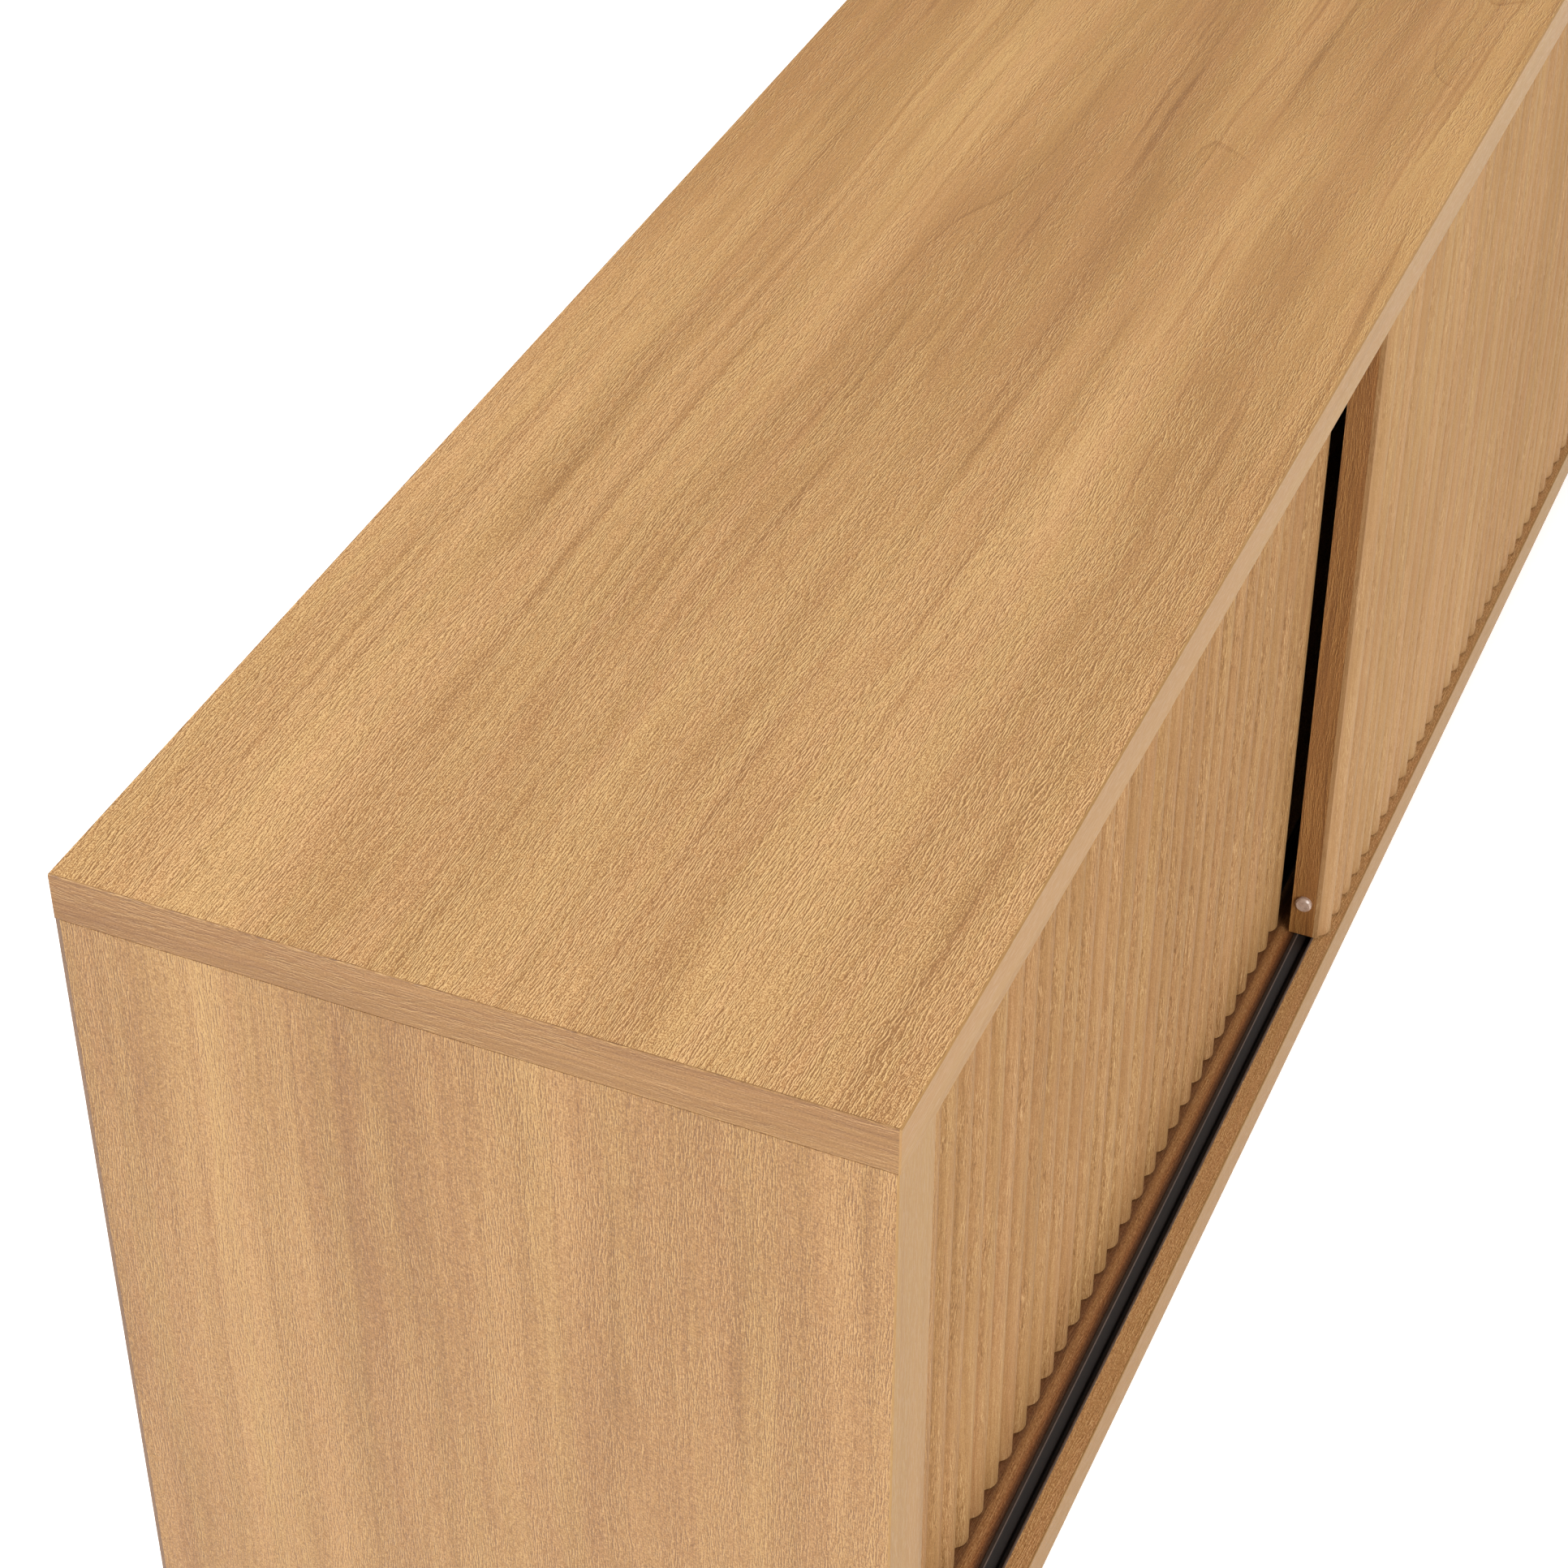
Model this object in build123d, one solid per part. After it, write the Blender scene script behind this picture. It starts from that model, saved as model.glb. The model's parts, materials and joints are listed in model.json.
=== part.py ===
"""Media cabinet: a panel case with two reeded doors that slide past each other.

Millimetres. The origin is on the floor under the middle of the case: +X runs along the
length, -Y is the front with the doors, and +Z is up.
"""

import os
from math import atan2, cos, sin

from build123d import *

# ---------------------------------------------------------------- driving dimensions

WIDTH = 1492.0
DEPTH = 400.0
HEIGHT = 550.0
FOOT_HEIGHT = 27.2

TOP_THICKNESS = 25.4
SIDE_THICKNESS = 40.5
BOTTOM_THICKNESS = 25.4
INNER_BOARD_THICKNESS = 18.0
BACK_THICKNESS = 2.5
BAND_THICKNESS = 1.0
BAND_ARRIS = 0.4
SIDE_SETBACK = 0.5

# doors: a flat board with a reeded facing on its front
DOOR_BOARD_THICKNESS = 15.5
FACING_BACKING = 2.9
REED_HEIGHT = 5.2
REED_PITCH = 21.45
REED_COUNT = 33
REED_CREST_SHARE = 0.6
FRONT_DOOR_SETBACK = 4.2
DOOR_PITCH = 31.6
DOOR_BOTTOM_GAP = 1.5
DOOR_TOP_GAP = 2.0
SLIDING_GAP = 0.3

BUMPER_DIAMETER = 10.6
BUMPER_CROWN_DIAMETER = 8.4
BUMPER_HEIGHT = 3.0
BUMPER_INSET = 25.7

# channels that guide the doors, let into the bottom and the top panels: each has a narrow slot
# with a thin lip in front of it, and a shoulder behind it that slopes down from a wider lip
TRACK_SLOT_WIDTH = 4.0
TRACK_SLOT_DEPTH = 8.8
TRACK_SHOULDER_WIDTH = 4.6
TRACK_SHOULDER_DROP = 3.4
TRACK_FRONT_LIP_WIDTH = 1.25
TRACK_REAR_LIP_WIDTH = 2.45
TRACK_LIP_THICKNESS = 0.8
TRACK_FRONT_WALL = 0.7
TRACK_REAR_LIP_OVERLAP = 1.0
TRACK_FLOOR_THICKNESS = 1.2
TRACK_END_GAP = 0.3
TRACK_ARRIS = 0.3

ROLLER_DIAMETER = 26.0
ROLLER_THICKNESS = 3.0
ROLLER_EDGE_RADIUS = 0.6
ROLLER_INSET = 50.0
AXLE_DIAMETER = 3.0
AXLE_CLEARANCE = 0.05
HOUSING_WIDTH = 5.6
ROLLER_HOUSING_LENGTH = 34.0
ROLLER_HOUSING_HEIGHT = 20.0
ROLLER_SLOT_LENGTH = 28.0
ROLLER_SLOT_WIDTH = 3.6

GUIDE_HOUSING_LENGTH = 24.0
GUIDE_HOUSING_HEIGHT = 26.0
GUIDE_PIN_LENGTH = 12.0
GUIDE_PIN_THICKNESS = 3.0
GUIDE_PIN_HEIGHT = 22.6
GUIDE_PIN_RISE = 7.0
GUIDE_PIN_CLEARANCE = 0.1
GUIDE_PIN_EDGE_RADIUS = 1.0

DIVIDER_SETBACK = 70.0
SHELF_SETBACK = 80.0
SHELF_DEPTH = 310.0
SHELF_END_GAP = 1.0
SHELF_UNDERSIDE = 280.0

PIN_DIAMETER = 5.0
PIN_HOLE_DEPTH = 8.0
PIN_REACH = 7.5
PIN_COLLAR_DIAMETER = 7.0
PIN_COLLAR_THICKNESS = 0.8
PIN_HOLE_PITCH = 32.0
PIN_HOLES_EACH_WAY = 2
PIN_COLUMNS_Y = (-85.0, 155.0)

CAM_DIAMETER = 15.0
CAM_DEPTH = 14.0
CAM_DISTANCE = 34.0
CAM_MOUTH_DIAMETER = 7.6
CAM_MOUTH_OVERRUN = 3.0
CAM_DRIVE_LENGTH = 9.0
CAM_DRIVE_WIDTH = 1.6
CAM_DRIVE_DEPTH = 2.0
BOLT_THREAD_DIAMETER = 7.0
BOLT_THREAD_LENGTH = 11.0
BOLT_SHANK_DIAMETER = 5.0
BOLT_HEAD_DIAMETER = 7.0
BOLT_HEAD_LENGTH = 2.5
BOLT_HOLE_DIAMETER = 8.0
SIDE_CAM_AXIS_DEPTH = 8.0
BOTTOM_FITTING_DEPTH = 9.8
DOWEL_DIAMETER = 8.0
DOWEL_LENGTH = 30.0
SIDE_JOINT_CAMS_Y = (-80.0, 120.0)
SIDE_JOINT_DOWELS_Y = (-30.0, 70.0)
DIVIDER_CAMS_Y = (-60.0, 110.0)
DIVIDER_DOWEL_Y = 30.0

CABLE_HOLE_DIAMETER = 60.0
CABLE_HOLE_HEIGHT = 110.0
BACK_SIDE_INSET = 0.5
BACK_SEAM_GAP = 1.0
SCREW_DIAMETER = 3.0
SCREW_HEAD_DIAMETER = 6.0
SCREW_HEAD_HEIGHT = 1.5
SCREW_LENGTH = 16.0

FOOT_TOP_DIAMETER = 48.0
FOOT_BASE_DIAMETER = 40.0
FOOT_EDGE_RADIUS = 2.0
FOOT_BORE_DIAMETER = 12.0
FOOT_WEB = 8.0
FOOT_X = (-690.0, 0.0, 690.0)
FOOT_Y = (-135.0, 150.0)
FOOT_SCREW_DIAMETER = 4.8
FOOT_SCREW_GRIP = 14.0
FOOT_SCREW_HEAD_DIAMETER = 10.0
FOOT_SCREW_HEAD_HEIGHT = 3.0

# ---------------------------------------------------------------- worked out from those

END_X = WIDTH / 2
FRONT_Y = -DEPTH / 2
BACK_Y = DEPTH / 2
CARCASE_BACK_Y = BACK_Y - BACK_THICKNESS
INNER_X = END_X - SIDE_THICKNESS
CASE_BOTTOM = FOOT_HEIGHT
CASE_FLOOR = CASE_BOTTOM + BOTTOM_THICKNESS
TOP_UNDERSIDE = HEIGHT - TOP_THICKNESS
DIVIDER_HALF = INNER_BOARD_THICKNESS / 2
BOTTOM_FITTING_Z = CASE_BOTTOM + BOTTOM_FITTING_DEPTH

DOOR_WIDTH = REED_COUNT * REED_PITCH
DOOR_BOTTOM = CASE_FLOOR + DOOR_BOTTOM_GAP
DOOR_TOP = TOP_UNDERSIDE - DOOR_TOP_GAP
DOOR_OUTER_X = INNER_X - SLIDING_GAP - BUMPER_HEIGHT
TRACK_SETBACK = FRONT_DOOR_SETBACK + REED_HEIGHT + FACING_BACKING + HOUSING_WIDTH / 2
TRACK_BODY_FRONT = TRACK_SLOT_WIDTH / 2 + TRACK_FRONT_WALL
TRACK_LIP_REAR = TRACK_SLOT_WIDTH / 2 + TRACK_SHOULDER_WIDTH + TRACK_REAR_LIP_WIDTH
TRACK_BODY_REAR = TRACK_LIP_REAR - TRACK_REAR_LIP_OVERLAP
TRACK_GROOVE_DEPTH = TRACK_SLOT_DEPTH - TRACK_LIP_THICKNESS + TRACK_FLOOR_THICKNESS
TRACK_FLOOR = CASE_FLOOR + TRACK_LIP_THICKNESS - TRACK_SLOT_DEPTH
ROLLER_CENTRE = TRACK_FLOOR + SLIDING_GAP + ROLLER_DIAMETER / 2


def lane_y(lane):
    """The middle of a track's slot: lane 0 is the front one, lane 1 the rear one."""
    return FRONT_Y + TRACK_SETBACK + lane * DOOR_PITCH


def block(x0, x1, y0, y1, z0, z1):
    """A box between two corners."""
    size = (x1 - x0, y1 - y0, z1 - z0)
    return Pos((x0 + x1) / 2, (y0 + y1) / 2, (z0 + z1) / 2) * Box(*size)


def rod(start, direction, diameter, length):
    """A cylinder that runs from a point along a direction."""
    base = Plane(origin=start, z_dir=direction)
    disc = base * Circle(diameter / 2)
    return extrude(disc, length, dir=direction)


def save(shape, node):
    """Writes one sub-part."""
    export_step(shape, f"parts/{node}.step")


def save_group(solids, node):
    """Writes identical pieces that share one node."""
    save(Compound(children=solids), node)


# ---------------------------------------------------------------- where the fittings go


class CamJoint:
    """One cam fitting: where its bolt crosses the joint, and which way the cam faces."""

    def __init__(self, crossing, bolt_dir, cam_face_dir, axis_depth):
        self.crossing = Vector(*crossing)
        self.bolt_dir = Vector(*bolt_dir)
        self.cam_face_dir = Vector(*cam_face_dir)
        self.centre = self.crossing - self.bolt_dir * CAM_DISTANCE
        self.mouth = self.centre + self.cam_face_dir * axis_depth
        self.axis_depth = axis_depth

    def cam_bore(self):
        return rod(self.mouth, -self.cam_face_dir, CAM_DIAMETER, CAM_DEPTH)

    def edge_hole(self):
        return rod(self.crossing, -self.bolt_dir, BOLT_HOLE_DIAMETER, CAM_DISTANCE)

    def face_hole(self):
        return rod(self.crossing, self.bolt_dir, BOLT_THREAD_DIAMETER, BOLT_THREAD_LENGTH)

    def bolt(self):
        head_start = self.centre - self.bolt_dir * (BOLT_HEAD_LENGTH / 2)
        shank_length = CAM_DISTANCE
        thread = self.face_hole()
        shank = rod(self.crossing, -self.bolt_dir, BOLT_SHANK_DIAMETER, shank_length)
        head = rod(head_start, self.bolt_dir, BOLT_HEAD_DIAMETER, BOLT_HEAD_LENGTH)
        return thread + shank + head

    def cam(self):
        mouth_start = self.centre - self.bolt_dir * CAM_MOUTH_OVERRUN
        mouth_length = CAM_MOUTH_OVERRUN + CAM_DIAMETER
        drive_plane = Plane(origin=self.mouth, x_dir=self.bolt_dir, z_dir=self.cam_face_dir)
        drive = drive_plane * Box(CAM_DRIVE_LENGTH, CAM_DRIVE_WIDTH, 2 * CAM_DRIVE_DEPTH)
        body = self.cam_bore()
        body -= rod(mouth_start, self.bolt_dir, CAM_MOUTH_DIAMETER, mouth_length)
        return body - drive


def side_top_cams(sign):
    """Cams inside a side panel that pull the top down on it."""
    bolt_x = sign * (INNER_X + SIDE_CAM_AXIS_DEPTH)
    return [
        CamJoint((bolt_x, y, TOP_UNDERSIDE), (0, 0, 1), (-sign, 0, 0), SIDE_CAM_AXIS_DEPTH)
        for y in SIDE_JOINT_CAMS_Y
    ]


def side_bottom_cams(sign):
    """Cams under the bottom panel that pull it against a side panel."""
    return [
        CamJoint((sign * INNER_X, y, BOTTOM_FITTING_Z), (sign, 0, 0), (0, 0, -1), BOTTOM_FITTING_DEPTH)
        for y in SIDE_JOINT_CAMS_Y
    ]


def divider_cams(z, direction):
    """Cams in the left face of the divider, at its top or its bottom edge."""
    return [
        CamJoint((0, y, z), (0, 0, direction), (-1, 0, 0), DIVIDER_HALF)
        for y in DIVIDER_CAMS_Y
    ]


def dowel(middle, direction):
    """A dowel pin, and the shape of its two holes."""
    along = Vector(*direction)
    return rod(Vector(*middle) - along * (DOWEL_LENGTH / 2), along, DOWEL_DIAMETER, DOWEL_LENGTH)


def side_top_dowels(sign):
    x = sign * (INNER_X + SIDE_THICKNESS / 2)
    return [dowel((x, y, TOP_UNDERSIDE), (0, 0, 1)) for y in SIDE_JOINT_DOWELS_Y]


def side_bottom_dowels(sign):
    return [dowel((sign * INNER_X, y, BOTTOM_FITTING_Z), (1, 0, 0)) for y in SIDE_JOINT_DOWELS_Y]


def divider_dowels():
    return [dowel((0, DIVIDER_DOWEL_Y, z), (0, 0, 1)) for z in (CASE_FLOOR, TOP_UNDERSIDE)]


DIVIDER_TOP_CAMS = divider_cams(TOP_UNDERSIDE, 1)
DIVIDER_BOTTOM_CAMS = divider_cams(CASE_FLOOR, -1)


def pin_heights():
    """Heights of one column of shelf-pin holes."""
    middle = SHELF_UNDERSIDE - PIN_DIAMETER / 2
    steps = range(-PIN_HOLES_EACH_WAY, PIN_HOLES_EACH_WAY + 1)
    return [middle + step * PIN_HOLE_PITCH for step in steps]


def pin_holes(face_x, into):
    """Both columns of shelf-pin holes in one upright face."""
    return [
        rod((face_x, y, z), (into, 0, 0), PIN_DIAMETER, PIN_HOLE_DEPTH)
        for y in PIN_COLUMNS_Y
        for z in pin_heights()
    ]


def back_screw_places():
    """(x, z) of every screw that holds the back panels."""
    side_x = END_X - SIDE_THICKNESS / 2
    side_z = (90.0, 220.0, 350.0, 480.0)
    floor_x = (90.0, 300.0, 510.0)
    divider_x = BACK_SEAM_GAP / 2 + SCREW_HEAD_DIAMETER / 2 + 0.8
    divider_z = (110.0, 285.0, 460.0)
    right = [(side_x, z) for z in side_z]
    right += [(x, BOTTOM_FITTING_Z) for x in floor_x]
    right += [(divider_x, z) for z in divider_z]
    return right + [(-x, z) for x, z in right]


def back_screw(x, z):
    """A countersunk screw whose head is flush with the back."""
    sink = Plane(origin=(x, BACK_Y, z), z_dir=(0, -1, 0))
    top = sink * Circle(SCREW_HEAD_DIAMETER / 2)
    neck = sink.offset(SCREW_HEAD_HEIGHT) * Circle(SCREW_DIAMETER / 2)
    head = loft([top, neck])
    return head + rod((x, BACK_Y - SCREW_HEAD_HEIGHT, z), (0, -1, 0), SCREW_DIAMETER, SCREW_LENGTH)


def foot_places():
    return [(x, y) for x in FOOT_X for y in FOOT_Y]


# ---------------------------------------------------------------- the case


def lane_grooves(z0, z1):
    """The two long grooves that take the channels."""
    spans = [(lane_y(n) - TRACK_BODY_FRONT, lane_y(n) + TRACK_BODY_REAR) for n in (0, 1)]
    return [block(-INNER_X, INNER_X, y0, y1, z0, z1) for y0, y1 in spans]


def top_panel():
    end_x = END_X - BAND_THICKNESS
    panel = block(-end_x, end_x, FRONT_Y + BAND_THICKNESS, BACK_Y, TOP_UNDERSIDE, HEIGHT)
    cuts = lane_grooves(TOP_UNDERSIDE, TOP_UNDERSIDE + TRACK_GROOVE_DEPTH)
    for sign in (-1, 1):
        cuts += [joint.face_hole() for joint in side_top_cams(sign)]
        cuts += side_top_dowels(sign)
    cuts += [joint.face_hole() for joint in DIVIDER_TOP_CAMS]
    cuts += divider_dowels()
    return panel - cuts


def edge_band(x0, x1, y0, y1, z0, z1, outer_faces):
    """An edging strip with its outer arrises eased."""
    strip = block(x0, x1, y0, y1, z0, z1)
    eased = strip.faces().sort_by(outer_faces)[0].edges()
    return chamfer(eased, BAND_ARRIS)


def top_front_band():
    y1 = FRONT_Y + BAND_THICKNESS
    return edge_band(-END_X, END_X, FRONT_Y, y1, TOP_UNDERSIDE, HEIGHT, Axis.Y)


def top_end_band(sign):
    outer = sign * END_X
    inner = sign * (END_X - BAND_THICKNESS)
    x0, x1 = sorted((outer, inner))
    y0 = FRONT_Y + BAND_THICKNESS
    strip = block(x0, x1, y0, BACK_Y, TOP_UNDERSIDE, HEIGHT)
    outer_face = strip.faces().sort_by(Axis.X)[0 if sign < 0 else -1]
    long_edges = outer_face.edges().filter_by(Axis.Y)
    return chamfer(long_edges, BAND_ARRIS)


def side_panel(sign):
    x0, x1 = sorted((sign * INNER_X, sign * END_X))
    y0 = FRONT_Y + SIDE_SETBACK + BAND_THICKNESS
    panel = block(x0, x1, y0, CARCASE_BACK_Y, CASE_BOTTOM, TOP_UNDERSIDE)
    cuts = pin_holes(sign * INNER_X, sign)
    for joint in side_top_cams(sign):
        cuts += [joint.cam_bore(), joint.edge_hole()]
    cuts += [joint.face_hole() for joint in side_bottom_cams(sign)]
    cuts += side_top_dowels(sign) + side_bottom_dowels(sign)
    cuts += [back_screw(x, z) for x, z in back_screw_places()]
    return panel - cuts


def side_front_band(sign):
    x0, x1 = sorted((sign * INNER_X, sign * END_X))
    y0 = FRONT_Y + SIDE_SETBACK
    return edge_band(x0, x1, y0, y0 + BAND_THICKNESS, CASE_BOTTOM, TOP_UNDERSIDE, Axis.Y)


def bottom_panel():
    y0 = FRONT_Y + BAND_THICKNESS
    panel = block(-INNER_X, INNER_X, y0, CARCASE_BACK_Y, CASE_BOTTOM, CASE_FLOOR)
    cuts = lane_grooves(CASE_FLOOR - TRACK_GROOVE_DEPTH, CASE_FLOOR)
    for sign in (-1, 1):
        for joint in side_bottom_cams(sign):
            cuts += [joint.cam_bore(), joint.edge_hole()]
        cuts += side_bottom_dowels(sign)
    cuts += [joint.face_hole() for joint in DIVIDER_BOTTOM_CAMS]
    cuts += divider_dowels()
    cuts += [back_screw(x, z) for x, z in back_screw_places()]
    cuts += [foot_screw(x, y) for x, y in foot_places()]
    return panel - cuts


def bottom_front_band():
    y1 = FRONT_Y + BAND_THICKNESS
    return edge_band(-INNER_X, INNER_X, FRONT_Y, y1, CASE_BOTTOM, CASE_FLOOR, Axis.Y)


def centre_divider():
    y0 = FRONT_Y + DIVIDER_SETBACK + BAND_THICKNESS
    panel = block(-DIVIDER_HALF, DIVIDER_HALF, y0, CARCASE_BACK_Y, CASE_FLOOR, TOP_UNDERSIDE)
    cuts = pin_holes(-DIVIDER_HALF, 1) + pin_holes(DIVIDER_HALF, -1)
    for joint in DIVIDER_TOP_CAMS + DIVIDER_BOTTOM_CAMS:
        cuts += [joint.cam_bore(), joint.edge_hole()]
    cuts += divider_dowels()
    cuts += [back_screw(x, z) for x, z in back_screw_places()]
    return panel - cuts


def centre_divider_band():
    y0 = FRONT_Y + DIVIDER_SETBACK
    y1 = y0 + BAND_THICKNESS
    return edge_band(-DIVIDER_HALF, DIVIDER_HALF, y0, y1, CASE_FLOOR, TOP_UNDERSIDE, Axis.Y)


def shelf_span(sign):
    """The two ends of a shelf along X."""
    ends = (DIVIDER_HALF + SHELF_END_GAP, INNER_X - SHELF_END_GAP)
    return sorted(sign * x for x in ends)


def shelf(sign):
    x0, x1 = shelf_span(sign)
    y0 = FRONT_Y + SHELF_SETBACK
    y1 = y0 + SHELF_DEPTH
    z1 = SHELF_UNDERSIDE + INNER_BOARD_THICKNESS
    return block(x0, x1, y0 + BAND_THICKNESS, y1, SHELF_UNDERSIDE, z1)


def shelf_band(sign):
    x0, x1 = shelf_span(sign)
    y0 = FRONT_Y + SHELF_SETBACK
    z1 = SHELF_UNDERSIDE + INNER_BOARD_THICKNESS
    return edge_band(x0, x1, y0, y0 + BAND_THICKNESS, SHELF_UNDERSIDE, z1, Axis.Y)


def shelf_pin(face_x, into, y):
    """A push-in pin: a stud in the upright, a collar and a support."""
    z = SHELF_UNDERSIDE - PIN_DIAMETER / 2
    stud = rod((face_x, y, z), (into, 0, 0), PIN_DIAMETER, PIN_HOLE_DEPTH)
    collar = rod((face_x, y, z), (-into, 0, 0), PIN_COLLAR_DIAMETER, PIN_COLLAR_THICKNESS)
    support = rod((face_x, y, z), (-into, 0, 0), PIN_DIAMETER, PIN_REACH)
    return stud + collar + support


def shelf_pins():
    faces = ((-INNER_X, -1), (-DIVIDER_HALF, 1), (DIVIDER_HALF, -1), (INNER_X, 1))
    return [shelf_pin(x, into, y) for x, into in faces for y in PIN_COLUMNS_Y]


def back_panel(sign):
    x0, x1 = sorted((sign * BACK_SEAM_GAP / 2, sign * (END_X - BACK_SIDE_INSET)))
    panel = block(x0, x1, CARCASE_BACK_Y, BACK_Y, CASE_BOTTOM, TOP_UNDERSIDE)
    hole_x = sign * (DIVIDER_HALF + INNER_X) / 2
    cuts = [rod((hole_x, BACK_Y, CABLE_HOLE_HEIGHT), (0, -1, 0), CABLE_HOLE_DIAMETER, BACK_THICKNESS)]
    cuts += [back_screw(x, z) for x, z in back_screw_places()]
    return panel - cuts


# ---------------------------------------------------------------- feet


def foot_screw(x, y):
    seat = FOOT_HEIGHT - FOOT_WEB
    head_base = seat - FOOT_SCREW_HEAD_HEIGHT
    up = (0, 0, 1)
    head = rod((x, y, head_base), up, FOOT_SCREW_HEAD_DIAMETER, FOOT_SCREW_HEAD_HEIGHT)
    return head + rod((x, y, seat), up, FOOT_SCREW_DIAMETER, FOOT_WEB + FOOT_SCREW_GRIP)


def foot(x, y):
    """A round foot, hollowed from below for its screw."""
    radius_step = (FOOT_TOP_DIAMETER - FOOT_BASE_DIAMETER) / 2
    outline = Polyline(
        (0, 0),
        (FOOT_TOP_DIAMETER / 2 - radius_step, 0),
        (FOOT_TOP_DIAMETER / 2, FOOT_HEIGHT),
        (0, FOOT_HEIGHT),
        close=True,
    )
    body = revolve(Plane.XZ * make_face(outline), Axis.Z)
    base_rim = body.edges().filter_by(GeomType.CIRCLE).sort_by(Axis.Z)[0]
    body = Pos(x, y, 0) * fillet(base_rim, FOOT_EDGE_RADIUS)
    body -= rod((x, y, 0), (0, 0, 1), FOOT_BORE_DIAMETER, FOOT_HEIGHT - FOOT_WEB)
    return body - foot_screw(x, y)


# ---------------------------------------------------------------- channels


def track_section():
    """The channel's outline, from front to rear; the slot's middle is at 0 and the lips' top at z = 0."""
    slot = TRACK_SLOT_WIDTH / 2
    shoulder = slot + TRACK_SHOULDER_WIDTH
    front = slot + TRACK_FRONT_LIP_WIDTH
    base = -TRACK_SLOT_DEPTH - TRACK_FLOOR_THICKNESS
    outline = [
        (slot, -TRACK_SLOT_DEPTH),
        (slot, -TRACK_SHOULDER_DROP - TRACK_ARRIS),
        (slot + TRACK_ARRIS, -TRACK_SHOULDER_DROP),
        (shoulder, -TRACK_ARRIS),
        (shoulder + TRACK_ARRIS, 0),
        (TRACK_LIP_REAR - TRACK_ARRIS, 0),
        (TRACK_LIP_REAR, -TRACK_ARRIS),
        (TRACK_LIP_REAR, -TRACK_LIP_THICKNESS),
        (TRACK_BODY_REAR, -TRACK_LIP_THICKNESS),
        (TRACK_BODY_REAR, base),
        (-TRACK_BODY_FRONT, base),
        (-TRACK_BODY_FRONT, -TRACK_LIP_THICKNESS),
        (-front, -TRACK_LIP_THICKNESS),
        (-front, -TRACK_ARRIS),
        (TRACK_ARRIS - front, 0),
        (-slot - TRACK_ARRIS, 0),
        (-slot, -TRACK_ARRIS),
        (-slot, -TRACK_SLOT_DEPTH),
    ]
    return make_face(Polyline(*outline, close=True))


def track(lane, at_top):
    """A channel in the bottom panel, or the same one upside down in the top panel."""
    length = 2 * (INNER_X - TRACK_END_GAP)
    section = Plane(origin=(-length / 2, 0, 0), x_dir=(0, 1, 0), z_dir=(1, 0, 0)) * track_section()
    bar = extrude(section, length, dir=(1, 0, 0))
    if at_top:
        bar = mirror(bar, Plane.XY)
        return Pos(0, lane_y(lane), TOP_UNDERSIDE - TRACK_LIP_THICKNESS) * bar
    return Pos(0, lane_y(lane), CASE_FLOOR + TRACK_LIP_THICKNESS) * bar


# ---------------------------------------------------------------- doors


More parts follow.
